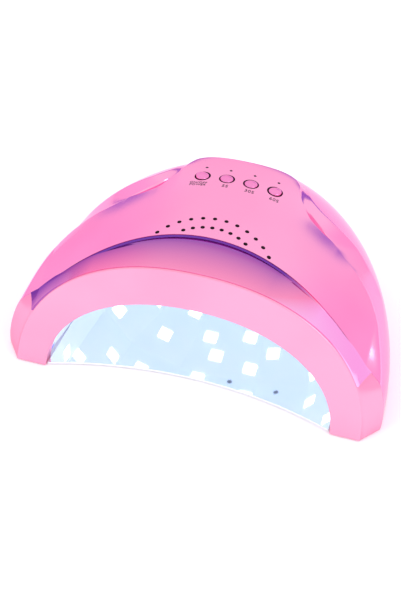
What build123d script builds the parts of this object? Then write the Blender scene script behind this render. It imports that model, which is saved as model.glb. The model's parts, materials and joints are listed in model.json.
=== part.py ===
from build123d import *
from math import cos, exp, hypot, log, pi, radians, sin, sqrt
import os

# UV LED nail lamp: millimetres, +Z up, front facing -Y, origin under the middle of the footprint.

# ---- driving dimensions -------------------------------------------------------------------
WIDTH = 230.0             # widest point of the body, across the flared sides
DEPTH = 188.0             # front foot corners to the flat rear panel
CROWN_Z = 100.4           # highest point of the button panel
GROUND_GAP = 0.8          # housing edge above the table, carried by the rubber feet
WALL = 2.4                # moulded wall thickness
FIT = 0.15                # assembly gap between fixed pieces

DOME_X, DOME_Y, DOME_Z = 113.1, 170.0, 114.2   # semi-axes of the dome the body is cut from
DOME_START = 22.7         # distance of the dome's centre behind the front
CROWN_AT = 90.0           # distance of the crown line's highest point behind the front
CROWN_FALL = 0.00132      # crown line falls by this times the distance squared

ARCH_OUT_X, ARCH_OUT_Z = 104.2, 82.7   # outer edge of the front frame
ARCH_IN_X, ARCH_IN_Z = 86.0, 59.2      # inner edge of the front frame
ARCH_POWER = 2.2                       # superellipse exponent of the outer edge
ARCH_IN_POWER = 2.12                   # and of the inner edge
FACE_LEAN = 0.1                        # front face leans back this much per unit height
FRAME_THICK = 8.0
LEDGE_THICK, LEDGE_STEP = 1.6, 3.0     # thin rim standing out round the frame's front

LIP_Y, LIP_SWEEP = 29.0, 12.0          # shell lip: distance behind the front, sweep forward at the ends
LIP_END_X = 104.0

BUTTON_PITCH = 14.85
BUTTON_Y = 87.2           # behind the front
LAMP_Y = 97.3             # indicator lamps, behind the front
BUTTON_R = 4.0
BUTTON_BORE_R = 4.75
BUTTON_TRAVEL = 0.8
VENT_R = 1.0
VENT_CENTRE_Y = 2.6       # centre of both vent arcs, behind the front
VENT_OUTER = (43.0, 12)   # arc radius, hole count
VENT_INNER = (34.8, 8)
VENT_STEP = 9.1           # degrees between holes

TRAY_Z0, TRAY_Z1 = 1.0, 2.2       # underside and top of the base tray

FRONT = -DEPTH / 2
HALF = WIDTH / 2


def back(y):
    """Distance behind the front face to the model's own y."""
    return FRONT + y


# ---- outer form ---------------------------------------------------------------------------
# Ridge in plan, from the middle of the rear edge of the button panel down to a front foot.
RIDGE = [(0, 113.5), (20, 113), (30, 109.5), (34.2, 103), (36, 96.5), (38.7, 89.6), (42.9, 84.1),
         (48.5, 79.9), (56.4, 75.8), (64, 72.9), (73.6, 67), (79.6, 63.7), (85.2, 60.1), (91.2, 55),
         (96.5, 48), (101, 40), (105.9, 30), (109, 22), (113, 10)]
# Valley behind the ridge: half-width of the ridge, reach of the valley behind it, extra drop.
VALLEY = [(0, 6, 0), (36, 6, 0), (46, 6, 1.0), (56, 11, 2.0), (64, 19, 2.0), (86, 22, 1.5), (96, 14, 0), (113, 8, 0)]
EDGE_ROLL, ROLL_START, ROLL_REACH = 0.6, 95.0, 4.0   # rounding of the button panel's rear edge
CREST_ROLL, CREST_REACH = 2.0, 7.5                   # the front form rolls down towards the ridge
CREST_FOOT_Z, CREST_START_X = 62.0, 36.0             # above this height and past this half-width
FLARE, FLARE_TOP, FLARE_REACH = 2.4, 38.0, 14.0      # bulge of the sides beside the front feet
FLANK_X, FLANK_RISE = 98.0, 0.5                      # the front form turns outwards past this half-width


def crown(y):
    return CROWN_Z - CROWN_FALL * (y - CROWN_AT) ** 2


def sag(y):
    """Side fall of the front form per unit of x squared."""
    return 0.0045 + 0.0011 * exp(-((y - 15) / 16) ** 2) - 0.0016 / (1 + exp((85 - y) / 4.0))


def soft_min(a, b, width):
    return -width * log(exp(-a / width) + exp(-b / width))


def ridge_place(x, y):
    """Distance behind the ridge in plan, negative in front of it, and the nearest ridge point."""
    x = abs(x)
    best = None
    for (x0, y0), (x1, y1) in zip(RIDGE, RIDGE[1:]):
        dx, dy = x1 - x0, y1 - y0
        t = max(0.0, min(1.0, ((x - x0) * dx + (y - y0) * dy) / (dx * dx + dy * dy)))
        px, py = x0 + t * dx, y0 + t * dy
        gap = hypot(x - px, y - py)
        side = (x - x0) * dy - (y - y0) * dx
        if best is None or gap < abs(best[0]):
            best = (gap if side < 0 else -gap, px, py)
    return best


def valley_shape(x):
    """Reach and extra drop of the valley behind a ridge point at half-width x."""
    for (x0, reach0, drop0), (x1, reach1, drop1) in zip(VALLEY, VALLEY[1:]):
        if x <= x1:
            t = (x - x0) / (x1 - x0)
            return reach0 + t * (reach1 - reach0), drop0 + t * (drop1 - drop0)
    return VALLEY[-1][1:]


def dome_height(x, y):
    """Height of the dome over a plan point."""
    reach = max(y - DOME_START, 0.0) / DOME_Y
    return DOME_Z * sqrt(max(1 - reach * reach - (x / DOME_X) ** 2, 0.0))


def crest_roll(x, z):
    """Depth of the roll at the ridge, fading in above the feet and beside the button panel."""
    rise = min(max((z - CREST_FOOT_Z) / 16, 0.0), 1.0)
    return CREST_ROLL * rise * min(max((x - CREST_START_X) / 12, 0.0), 1.0)


def form_radius(angle, y, inset=0.0):
    """Radius of the cross-section at depth y, at an angle from the table, inset from the skin."""
    ca, sa = max(cos(angle), 1e-6), max(sin(angle), 1e-6)
    reach = max(y - DOME_START, 0.0) / (DOME_Y - inset)
    size = sqrt(max(1 - reach * reach, 1e-4))
    dome = size / hypot(ca / (DOME_X - inset), sa / (DOME_Z - inset))
    top, c = crown(y) - inset, sag(y)
    front = (-sa + sqrt(sa * sa + 4 * c * top * ca * ca)) / (2 * c * ca * ca)
    behind, px, py = ridge_place(front * ca, y)
    roll = EDGE_ROLL * min(max((y - ROLL_START) / 10, 0.0), 1.0)
    crest = crest_roll(front * ca, front * sa) * exp(-abs(behind) / CREST_REACH)
    front += FLANK_RISE * max(front * ca - FLANK_X, 0.0) - roll * exp(-abs(behind) / ROLL_REACH) - crest
    level = min(dome * sa / FLARE_TOP, 1.0)
    flare = FLARE * sin(pi * level ** 0.7) * exp(-((y - RIDGE[-1][1]) / FLARE_REACH) ** 2)
    front = soft_min(front, dome + flare, 1.0)
    width, drop = valley_shape(px)
    near = max(1 - max(behind, 0.0) / width, 0.0)
    ridge_z = crown(py) - sag(py) * px * px
    over = (ridge_z - EDGE_ROLL * (py > ROLL_START) - crest_roll(px, ridge_z) - dome_height(px, py)) * sa
    valley = dome + flare + min(over, 3.0) * near - drop * near * (1 - exp(-max(behind, 0.0)))
    mask = 1 / (1 + exp(behind / 1.2)) if abs(behind) < 30 else float(behind < 0)
    return mask * front + (1 - mask) * valley


def section(y, inset, floor_z, count=36):
    """Half a cross-section mirrored: points from one side of the table over the top."""
    points = []
    for i in range(count + 1):
        angle = radians(180.0 * i / count)
        side = 1 if angle <= radians(90) else -1
        folded = angle if side > 0 else radians(180) - angle
        r = form_radius(folded, y, inset)
        x, z = side * r * cos(folded), r * sin(folded)
        points.append((x, max(z, 0.0)))
    points[0] = (points[0][0], floor_z)
    points[-1] = (points[-1][0], floor_z)
    return points


def form_solid(inset, depths, floor_z):
    """Body form lofted through cross-sections, inset from the outer skin."""
    with BuildPart() as form:
        for y in depths:
            points = section(y, inset, floor_z)
            with BuildSketch(Plane.XZ.offset(-back(y))):
                with BuildLine():
                    Spline(*points)
                    Line(points[-1], points[0])
                make_face()
        loft()
    return form.part


def save(part, name):
    part.label = name
    export_step(part, f"parts/{name}.step")
    print(name, round(part.volume, 1))


def lip_y(x):
    """Distance of the shell's front lip behind the front at x."""
    return LIP_Y - LIP_SWEEP * (x / LIP_END_X) ** 2


os.makedirs("parts", exist_ok=True)

PANEL_Z = 96.4            # level of the button panel's underside, below the buttons
BIG = 400.0               # cutting blocks larger than the lamp


def floor_cut(z):
    """Block under the given level, for trimming a piece's foot."""
    with BuildPart() as block:
        with Locations((0, 0, z)):
            Box(BIG, BIG, 100, align=(Align.CENTER, Align.CENTER, Align.MAX))
    return block.part


def front_cut(gap):
    """Block in front of the shell's swept lip, gap behind the lip line."""
    edge = [(x, back(lip_y(x) + gap)) for x in (-125, -90, -60, -30, 0, 30, 60, 90, 125)]
    with BuildPart() as block:
        with BuildSketch():
            with BuildLine():
                Spline(*edge)
                Polyline(edge[-1], (125, -BIG / 2), (-125, -BIG / 2), edge[0])
            make_face()
        extrude(amount=140, both=True)
    return block.part


# ---- faceted liner form ------------------------------------------------------------------
# Faceted liner: four corners per side, from the table up, shrinking towards the rear.
LINER = [(88.5, 1.5), (85.0, 27.0), (64.0, 50.0), (28.0, 61.5)]
LINER_STAGES = [(9.0, 1.0), (95.0, 0.93), (150.0, 0.62)]   # depth behind the front, scale
LINER_THICK = 1.6
LINER_BASE = 1.5
LINER_FOOT = 2.8          # lower edge of the liner's walls


def liner_corners(scale, grow, foot_z):
    """Right side corners at a scale, moved outwards by grow, the first one at foot_z."""
    side = []
    for x, z in LINER:
        px, pz = x * scale, LINER_BASE + (z - LINER_BASE) * scale
        reach = hypot(px, pz - 8)
        side.append((px + grow * 1.15 * px / reach, pz + grow * 1.15 * (pz - 8) / reach))
    side[0] = (side[0][0], foot_z)
    return side


def liner_block(stages, grow, foot_z):
    """Solid between the liner's stages."""
    with BuildPart() as block:
        for depth, scale in stages:
            side = liner_corners(scale, grow, foot_z)
            with BuildSketch(Plane.XZ.offset(-back(depth))):
                Polygon(*side, *[(-x, z) for x, z in side[::-1]], align=None)
        loft(ruled=True)
    return block.part


# ---- top shell ----------------------------------------------------------------------------
DEPTHS = [16, 24, 34, 46, 58, 68, 78, 88, 98, 108, 118, 128, 138, 148, 157, 165, 172, 178, 183]

JACK_Z = 12.5             # DC inlet on the rear panel
JACK_R = 6.2
vents = [(radius, (i - (count - 1) / 2) * VENT_STEP)
         for radius, count in (VENT_OUTER, VENT_INNER) for i in range(count)]
button_x = [(i - 1.5) * BUTTON_PITCH for i in range(4)]
LAMP_R = 0.9

RIM_TOP = 4.6             # top of the chassis rim
SCREW_SPOTS = [(98.0, 34.0), (94.0, 80.0), (60.0, 154.5)]   # shell screws, half-width and depth
BOSS_TOP = 24.0
PCB_Z, PCB_THICK = 84.0, 1.6           # control board's underside and thickness
PCB_POST_X, PCB_POST_Y = 32.0, 90.0
DRIVER_Z = 66.0
DRIVER_POST_X, DRIVER_POST_Y = 24.0, 118.0

LIP_MARGIN = 6.0          # the cavity reaches this far in front of the lip
skin = form_solid(0.0, [8] + DEPTHS + [DEPTH], 0.0) - front_cut(0.0)
cavity = form_solid(WALL, [6] + DEPTHS + [DEPTH - WALL], -3.0) - front_cut(-LIP_MARGIN)

with BuildPart() as shell_posts:
    for side in (-1, 1):
        for x, y in SCREW_SPOTS:
            with Locations((side * x, back(y), RIM_TOP + FIT)):
                Cylinder(3.2, BOSS_TOP - RIM_TOP, align=(Align.CENTER, Align.CENTER, Align.MIN))
            with Locations((side * (x + 10), back(y), RIM_TOP + 2)):
                Box(20, 1.6, BOSS_TOP - RIM_TOP - 4, align=(Align.CENTER, Align.CENTER, Align.MIN))
        with Locations((side * PCB_POST_X, back(PCB_POST_Y), PCB_Z + PCB_THICK)):
            Cylinder(3.0, 30, align=(Align.CENTER, Align.CENTER, Align.MIN))
        with Locations((side * DRIVER_POST_X, back(DRIVER_POST_Y), DRIVER_Z + PCB_THICK)):
            Cylinder(2.6, 40, align=(Align.CENTER, Align.CENTER, Align.MIN))
    with Locations(*[(s * x, back(y), 0) for x, y in SCREW_SPOTS for s in (-1, 1)]):
        Cylinder(1.45, 40, mode=Mode.SUBTRACT)
    with Locations(*[(s * PCB_POST_X, back(PCB_POST_Y), PCB_Z) for s in (-1, 1)],
                   *[(s * DRIVER_POST_X, back(DRIVER_POST_Y), DRIVER_Z) for s in (-1, 1)]):
        Cylinder(1.3, 9, align=(Align.CENTER, Align.CENTER, Align.MIN), mode=Mode.SUBTRACT)
    add(skin, mode=Mode.INTERSECT)

with BuildPart() as top_shell:
    add(skin)
    add(cavity, mode=Mode.SUBTRACT)
    add(shell_posts.part)
    add(floor_cut(GROUND_GAP), mode=Mode.SUBTRACT)
    with Locations(*[(x, back(BUTTON_Y), PANEL_Z - 6) for x in button_x]):
        Cylinder(BUTTON_BORE_R, 20, align=(Align.CENTER, Align.CENTER, Align.MIN), mode=Mode.SUBTRACT)
    with Locations(*[(x, back(LAMP_Y), PANEL_Z - 6) for x in button_x]):
        Cylinder(LAMP_R, 20, align=(Align.CENTER, Align.CENTER, Align.MIN), mode=Mode.SUBTRACT)
    with Locations(*[(r * sin(radians(a)), back(VENT_CENTRE_Y + r * cos(radians(a))), 80) for r, a in vents]):
        Cylinder(VENT_R, 30, align=(Align.CENTER, Align.CENTER, Align.MIN), mode=Mode.SUBTRACT)
    with Locations(Plane(origin=(0, FRONT + DEPTH + 5, JACK_Z), z_dir=(0, 1, 0))):
        Cylinder(JACK_R, 20, mode=Mode.SUBTRACT)
save(top_shell.part, "top_shell")


# ---- front frame --------------------------------------------------------------------------
def arch_points(half, top, foot_z, power=ARCH_POWER):
    """Arch edge from right foot to left foot, evenly turned, ending below the table."""
    points = []
    for i in range(25):
        turn = radians(180 * i / 24)
        x = half * (1 if cos(turn) >= 0 else -1) * abs(cos(turn)) ** (2 / power)
        points.append((x, top * sin(turn) ** (2 / power)))
    return [(half + 0.4, foot_z)] + points + [(-half - 0.4, foot_z)]


face_plane = Plane(origin=(0, FRONT, 0), x_dir=(1, 0, 0), z_dir=(0, -1, FACE_LEAN))
FOOT_LEVELS = (GROUND_GAP, 8.0, 15.0, 22.0, 29.0, 37.0)   # sections of the flared foot
FOOT_INNER = 60.0


def side_corner(z):
    """Half-width of the shell's lip at height z."""
    low, high = 0.0, radians(60)
    for _ in range(40):
        angle = (low + high) / 2
        radius = form_radius(angle, lip_y(HALF))
        radius = form_radius(angle, lip_y(radius * cos(angle)))
        if radius * sin(angle) < z:
            low = angle
        else:
            high = angle
    return radius * cos(angle)


with BuildPart() as arch_opening:
    with BuildSketch(face_plane.offset(20)):
        inner_edge = arch_points(ARCH_IN_X, ARCH_IN_Z, -8, ARCH_IN_POWER)
        with BuildLine():
            Spline(*inner_edge)
            Line(inner_edge[-1], inner_edge[0])
        make_face()
    extrude(amount=-70)


def foot(side):
    """Flared foot block behind one end of the arch."""
    with BuildPart() as block:
        for z in FOOT_LEVELS:
            front_x = ARCH_OUT_X * (1 - (z / ARCH_OUT_Z) ** ARCH_POWER) ** (1 / ARCH_POWER)
            front_y = FACE_LEAN * z + FIT
            rear_x = side_corner(z)
            rear_y = lip_y(rear_x) - FIT
            outline = [(FOOT_INNER, front_y), (front_x, front_y), (rear_x, rear_y), (FOOT_INNER, rear_y)]
            with BuildSketch(Plane.XY.offset(z)):
                Polygon(*[(side * x, back(y)) for x, y in outline], align=None)
        loft(ruled=True)
    return block.part


with BuildPart() as front_frame:
    for inset, thick in ((0.0, LEDGE_THICK), (LEDGE_STEP, FRAME_THICK)):
        with BuildSketch(face_plane):
            outer_edge = arch_points(ARCH_OUT_X - inset, ARCH_OUT_Z - inset, -8)
            with BuildLine():
                Spline(*outer_edge)
                Line(outer_edge[-1], outer_edge[0])
            make_face()
        extrude(amount=-thick)
    add(foot(1))
    add(foot(-1))
    add(arch_opening.part, mode=Mode.SUBTRACT)
    add(liner_block([(LINER_STAGES[0][0] - 0.3, 1.0), (25, 1.0)], LINER_THICK + 0.5, -2), mode=Mode.SUBTRACT)
    add(floor_cut(GROUND_GAP), mode=Mode.SUBTRACT)
save(front_frame.part, "front_frame")


# ---- groove trim --------------------------------------------------------------------------
TRIM_THICK = 1.6
TRIM_SPAN = 68.2          # half span of the crescent, degrees from upright
TRIM_TUCK = WALL + 0.35   # top edge hidden under the shell's lip


def trim_section(turn):
    """Closed outline of the cove between frame and lip, in the upright plane at this turn."""
    u = radians(turn)
    low, high = 0.0, 200.0
    for _ in range(60):
        mid = (low + high) / 2
        x, z = mid * sin(u), mid * cos(u)
        if (abs(x) / ARCH_OUT_X) ** ARCH_POWER + (z / ARCH_OUT_Z) ** ARCH_POWER < 1:
            low = mid
        else:
            high = mid
    inner_r = low
    low, high = inner_r, 200.0
    for _ in range(60):
        mid = (low + high) / 2
        x, z = mid * sin(u), mid * cos(u)
        y = max(lip_y(x), 16.0)
        r = form_radius(max(radians(90) - abs(u), 0.01), y)
        if mid < r:
            low = mid
        else:
            high = mid
    outer_r, lip_depth = low, lip_y(low * sin(u))
    rim = inner_r - 0.8
    y0 = FACE_LEAN * inner_r * cos(u) + LEDGE_THICK + 2 * FIT
    y1 = lip_depth - 0.4
    r1 = outer_r - TRIM_TUCK
    outline = [(rim, y0), (rim + 0.2 * (r1 - rim), y0 + 0.55 * (y1 - y0)),
               (rim + 0.55 * (r1 - rim), y0 + 0.87 * (y1 - y0)), (r1, y1)]
    rear = [(r - 0.8, y + TRIM_THICK) for r, y in outline]
    rear[0] = (outline[0][0] - TRIM_THICK, outline[0][1])
    rear[-1] = (r1, y1 + TRIM_THICK)
    return [Vector(r * sin(u), back(y), r * cos(u)) for r, y in outline + rear[::-1]]


with BuildPart() as groove_trim:
    sections = []
    for i in range(17):
        corners = trim_section(-TRIM_SPAN + i * 2 * TRIM_SPAN / 16)
        sections.append(Face(Wire.make_polygon(corners, close=True)))
    loft(sections=sections, ruled=True)
save(groove_trim.part, "groove_trim")


# ---- reflector ----------------------------------------------------------------------------
def wall_frame(stage, facet, u, v):
    """Plane on a liner facet seen from inside; facet 0-6 from right foot to left foot."""
    depth0, scale0 = LINER_STAGES[stage]
    depth1, scale1 = LINER_STAGES[stage + 1]
    rows = []
    for depth, scale in ((depth0, scale0), (depth1, scale1)):
        side = liner_corners(scale, 0, LINER_BASE)
        ring = side + [(-x, z) for x, z in side[::-1]]
        a, b = ring[facet], ring[facet + 1]
        rows.append([Vector(p[0], back(depth), p[1]) for p in (a, b)])
    near = rows[0][0] + (rows[0][1] - rows[0][0]) * u
    far = rows[1][0] + (rows[1][1] - rows[1][0]) * u
    spot = near + (far - near) * v
    along = rows[0][1] - rows[0][0]
    normal = along.cross(far - near).normalized()
    inward = Vector(0, back(70), 20) - spot
    if normal.dot(inward) < 0:
        normal = normal * -1
    return Plane(origin=spot, x_dir=along, z_dir=normal)


# LED windows: stage, facet, place across the facet, place along the stage.
LED_SIZE = 8.4
LED_GAP = 0.15
LED_THICK = 1.2
LED_GROUPS = {
    "leds_front_left": [(0, 5, 0.87, 0.44), (0, 5, 0.23, 0.74), (0, 4, 0.62, 0.80), (0, 6, 0.30, 0.30)],
    "leds_front_right": [(0, 1, 0.84, 0.77), (0, 1, 0.15, 0.43), (0, 2, 0.42, 0.34), (0, 0, 0.70, 0.30)],
    "leds_crown": [(0, 3, 0.74, 0.94), (0, 3, 0.10, 0.86), (0, 3, 0.5, 0.52), (0, 3, 0.2, 0.16),
                   (0, 3, 0.8, 0.16)],
    "leds_rear_left": [(1, 5, 0.78, 0.14), (1, 4, 0.33, 0.75), (1, 4, 0.6, 0.3), (1, 5, 0.3, 0.62),
                       (1, 6, 0.4, 0.3), (1, 6, 0.4, 0.75)],
    "leds_rear_right": [(1, 1, 0.80, 0.10), (1, 2, 0.72, 0.43), (1, 2, 0.2, 0.75), (1, 1, 0.3, 0.62),
                        (1, 0, 0.6, 0.3), (1, 0, 0.6, 0.75)],
    "leds_rear_crown": [(1, 3, 0.62, 0.27), (1, 3, 0.80, 0.50), (1, 3, 0.12, 0.20), (1, 3, 0.2, 0.62),
                        (1, 3, 0.5, 0.88)],
}
SENSORS = {"sensor_left": (0, 3, 0.34, 0.975), "sensor_right": (0, 2, 0.59, 0.92)}
SENSOR_R = 1.6

leds = [spot for group in LED_GROUPS.values() for spot in group]
last_depth, last_scale = LINER_STAGES[-1]
with BuildPart() as reflector:
    add(liner_block(LINER_STAGES[:-1] + [(last_depth + LINER_THICK, last_scale)], LINER_THICK, LINER_FOOT))
    add(liner_block([(LINER_STAGES[0][0] - 6, 1.005)] + LINER_STAGES[1:], 0, LINER_FOOT - 8), mode=Mode.SUBTRACT)
    for spot in leds:
        with BuildSketch(wall_frame(*spot).offset(-4)):
            Rectangle(LED_SIZE, LED_SIZE)
        extrude(amount=8, mode=Mode.SUBTRACT)
    for spot in SENSORS.values():
        with BuildSketch(wall_frame(*spot).offset(-4)):
            Circle(SENSOR_R + LED_GAP)
        extrude(amount=8, mode=Mode.SUBTRACT)
save(reflector.part, "reflector")


# ---- LED lenses, emitter boards and sensors -----------------------------------------------
def lens_group(spots):
    """Frosted square lenses filling their windows."""
    with BuildPart() as group:
        for spot in spots:
            with BuildSketch(wall_frame(*spot)):
                RectangleRounded(LED_SIZE - 2 * LED_GAP, LED_SIZE - 2 * LED_GAP, 1.2)
            extrude(amount=-LED_THICK)
    return group.part


for group_name, group_spots in LED_GROUPS.items():
    save(lens_group(group_spots), group_name)

for sensor_name, spot in SENSORS.items():
    with BuildPart() as sensor:
        with BuildSketch(wall_frame(*spot)):
            Circle(SENSOR_R)
        extrude(amount=-5)
    save(sensor.part, sensor_name)

BOARD_THICK = 1.0
BOARDS = {                # stage, facet, along-facet size, depth size, place on the facet
    "led_board_left": (0, 5, 24.0, 66.0, 0.55, 0.5),
    "led_board_right": (0, 1, 24.0, 66.0, 0.45, 0.5),
    "led_board_crown": (0, 3, 46.0, 70.0, 0.5, 0.5),
}
for board_name, (stage, facet, across, along, u, v) in BOARDS.items():
    with BuildPart() as board:
        with BuildSketch(wall_frame(stage, facet, u, v).offset(-LINER_THICK * 1.3)):
            Rectangle(across, along)
        extrude(amount=-BOARD_THICK)
        for spot in SENSORS.values():
            with BuildSketch(wall_frame(*spot)):
                Circle(SENSOR_R + 0.6)
            extrude(amount=-8, mode=Mode.SUBTRACT)
    save(board.part, board_name)


# ---- base tray outline ---------------------------------------------------------------------
TRAY_HALF = ARCH_IN_X - 1.0
TRAY_PLAN = [(TRAY_HALF, 0.5), (TRAY_HALF, 100.0), (72.0, 147.0)]   # half-width, depth
TRAY_POCKET = 0.6         # clearance round the tray's edge
MAGNET_SPOT = (77.6, 117.0)
MAGNET_R = 3.0
FLANGE_Z = 2.5            # rim's underside over the tray's edge


def tray_outline(grow):
    """Corners of the tray in plan, grown sideways and backwards."""
    side = [(x + grow, back(y + (grow if y > 0.5 else 0))) for x, y in TRAY_PLAN]
    return side + [(-x, y) for x, y in side[::-1]]


# ---- chassis rim --------------------------------------------------------------------------
RIM_OUT = WALL + 1.9
RIM_FRONT = 19.5
RIM_REAR = DEPTH - WALL - 0.8


def rim_half_width(depth):
    """Half-width of the rim at a depth behind the front."""
    reach = max(depth - DOME_START, 0.0) / (DOME_Y - RIM_OUT)
    return (DOME_X - RIM_OUT) * sqrt(1 - reach * reach)


with BuildPart() as chassis_rim:
    with BuildSketch(Plane.XY.offset(GROUND_GAP)):
        outline = [(rim_half_width(y), back(y)) for y in (RIM_FRONT, 60, 100, 130, 150, 165, 178, RIM_REAR)]
        with BuildLine():
            Spline(*outline)
            Line(outline[-1], (-outline[-1][0], outline[-1][1]))
            Spline(*[(-x, y) for x, y in outline[::-1]])
            Line((-outline[0][0], outline[0][1]), outline[0])
        make_face()
        liner_plan = [(LINER[0][0] * s + LINER_THICK + 1.0, back(y)) for y, s in LINER_STAGES]
        liner_plan[0] = (liner_plan[0][0], back(RIM_FRONT) - 5)
        liner_plan[-1] = (liner_plan[-1][0], liner_plan[-1][1] + LINER_THICK + 1.0)
        Polygon(*liner_plan, *[(-x, y) for x, y in liner_plan[::-1]], align=None, mode=Mode.SUBTRACT)
    extrude(amount=RIM_TOP - GROUND_GAP)
    with BuildSketch():
        Polygon(*tray_outline(TRAY_POCKET), align=None)
    extrude(amount=FLANGE_Z, mode=Mode.SUBTRACT)
    with Locations(*[(s * x, back(y), GROUND_GAP) for x, y in SCREW_SPOTS for s in (-1, 1)]):
        Cylinder(1.7, 20, mode=Mode.SUBTRACT)
        Cylinder(3.2, 3.6, mode=Mode.SUBTRACT)
    with Locations(*[(s * MAGNET_SPOT[0], back(MAGNET_SPOT[1]), 0) for s in (-1, 1)]):
        Cylinder(MAGNET_R + 0.1, 20, mode=Mode.SUBTRACT)
save(chassis_rim.part, "chassis_rim")

MAGNETS = {"magnet_left": -1, "magnet_right": 1}
for magnet_name, side in MAGNETS.items():
    with BuildPart() as magnet:
        with Locations((side * MAGNET_SPOT[0], back(MAGNET_SPOT[1]), FLANGE_Z)):
            Cylinder(MAGNET_R, RIM_TOP - FLANGE_Z, align=(Align.CENTER, Align.CENTER, Align.MIN))
    save(magnet.part, magnet_name)

with BuildPart() as shell_screws:
    with Locations(*[(s * x, back(y), GROUND_GAP + 0.3) for x, y in SCREW_SPOTS for s in (-1, 1)]):
        Cylinder(2.9, 1.4, align=(Align.CENTER, Align.CENTER, Align.MIN))
        Cylinder(1.4, 12, align=(Align.CENTER, Align.CENTER, Align.MIN))
        Box(0.6, 3.4, 1.0, mode=Mode.SUBTRACT)
        Box(3.4, 0.6, 1.0, mode=Mode.SUBTRACT)
save(shell_screws.part, "shell_screws")

# ---- rubber feet --------------------------------------------------------------------------
FOOT_PADS = {"foot_front_left": (-96.0, 7.5), "foot_front_right": (96.0, 7.5),
             "foot_rear_left": (-50.0, 160.0), "foot_rear_right": (50.0, 160.0)}
for pad_name, (x, y) in FOOT_PADS.items():
    with BuildPart() as pad:
        with Locations((x, back(y), 0)):
            Cylinder(3.6, GROUND_GAP, align=(Align.CENTER, Align.CENTER, Align.MIN))
        chamfer(pad.faces().sort_by(Axis.Z)[0].edges(), 0.25)
    save(pad.part, pad_name)


# ---- base tray ----------------------------------------------------------------------------
TRAY_FRONT_R = 215.0      # concave front edge
TRAY_FRONT_Y = 19.3       # its middle, behind the front
with BuildPart() as base_tray:
    with BuildSketch(Plane.XY.offset(TRAY_Z0)):
        Polygon(*tray_outline(0), align=None)
        with Locations((0, back(TRAY_FRONT_Y) - TRAY_FRONT_R)):
            Circle(TRAY_FRONT_R, mode=Mode.SUBTRACT)
    extrude(amount=TRAY_Z1 - TRAY_Z0)
save(base_tray.part, "base_tray")

TRAY_PADS = [(60.0, 40.0), (50.0, 135.0)]
with BuildPart() as tray_pads:
    with Locations(*[(s * x, back(y), TRAY_Z0) for x, y in TRAY_PADS for s in (-1, 1)]):
        Cylinder(3.0, 0.8, align=(Align.CENTER, Align.CENTER, Align.MAX))
save(tray_pads.part, "tray_pads")


# ---- control panel ------------------------------------------------------------------------
BUTTONS = ["button_power", "button_5s", "button_30s", "button_60s"]
CAP_TOP = 0.7             # dome of the cap above the panel
PANEL_SAG = 0.0030        # side fall of the panel per unit of x squared
CAP_EDGE = 0.5            # rounded edge of the cap
FLANGE_R, FLANGE_DROP, FLANGE_THICK = 5.6, 5.5, 1.0   # flange holding the cap under the panel
PLUNGER_R, PLUNGER_GAP = 1.4, 0.2
SWITCH_TOP = 88.4

for name, x in zip(BUTTONS, button_x):
    level = crown(BUTTON_Y) - PANEL_SAG * x * x
    with BuildPart() as button:
        with BuildSketch(Plane(origin=(x, back(BUTTON_Y), 0), x_dir=(1, 0, 0), z_dir=(0, -1, 0))):
            with BuildLine():
                Polyline((BUTTON_R, level - CAP_EDGE), (BUTTON_R, level - FLANGE_DROP),
                         (FLANGE_R, level - FLANGE_DROP), (FLANGE_R, level - FLANGE_DROP - FLANGE_THICK),
                         (0, level - FLANGE_DROP - FLANGE_THICK), (0, level + CAP_TOP))
                ThreePointArc((0, level + CAP_TOP), (BUTTON_R * 0.55, level + CAP_TOP * 0.78),
                              (BUTTON_R, level - CAP_EDGE))
            make_face()
        revolve(axis=Axis((x, back(BUTTON_Y), 0), (0, 0, 1)))
        with Locations((x, back(BUTTON_Y), level - FLANGE_DROP - FLANGE_THICK)):
            Cylinder(PLUNGER_R, level - FLANGE_DROP - FLANGE_THICK - SWITCH_TOP - BUTTON_TRAVEL - PLUNGER_GAP,
                     align=(Align.CENTER, Align.CENTER, Align.MAX))
    save(button.part, name)

with BuildPart() as control_pcb:
    with Locations((0, back(PCB_POST_Y), PCB_Z)):
        Box(72, 26, PCB_THICK, align=(Align.CENTER, Align.CENTER, Align.MIN))
    with Locations(*[(s * PCB_POST_X, back(PCB_POST_Y), PCB_Z) for s in (-1, 1)]):
        Cylinder(1.6, 8, mode=Mode.SUBTRACT)
save(control_pcb.part, "control_pcb")

with BuildPart() as tact_switches:
    with Locations(*[(x, back(BUTTON_Y), PCB_Z + PCB_THICK) for x in button_x]):
        Box(6, 6, 2.0, align=(Align.CENTER, Align.CENTER, Align.MIN))
        Cylinder(1.7, SWITCH_TOP - PCB_Z - PCB_THICK, align=(Align.CENTER, Align.CENTER, Align.MIN))
save(tact_switches.part, "tact_switches")

with BuildPart() as board_screws:
    posts = [(s * PCB_POST_X, back(PCB_POST_Y), PCB_Z) for s in (-1, 1)]
    posts += [(s * DRIVER_POST_X, back(DRIVER_POST_Y), DRIVER_Z) for s in (-1, 1)]
    with Locations(*posts):
        Cylinder(2.4, 1.4, align=(Align.CENTER, Align.CENTER, Align.MAX))
        Cylinder(1.2, 8, align=(Align.CENTER, Align.CENTER, Align.MIN))
save(board_screws.part, "board_screws")

INDICATORS = ["indicator_power", "indicator_5s", "indicator_30s", "indicator_60s"]
for name, x in zip(INDICATORS, button_x):
    level = crown(LAMP_Y) - PANEL_SAG * x * x
    with BuildPart() as pipe:
        with Locations((x, back(LAMP_Y), level - 0.25)):
            Cylinder(LAMP_R - 0.12, level - 0.25 - PCB_Z - PCB_THICK,
                     align=(Align.CENTER, Align.CENTER, Align.MAX))
    save(pipe.part, name)


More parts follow.
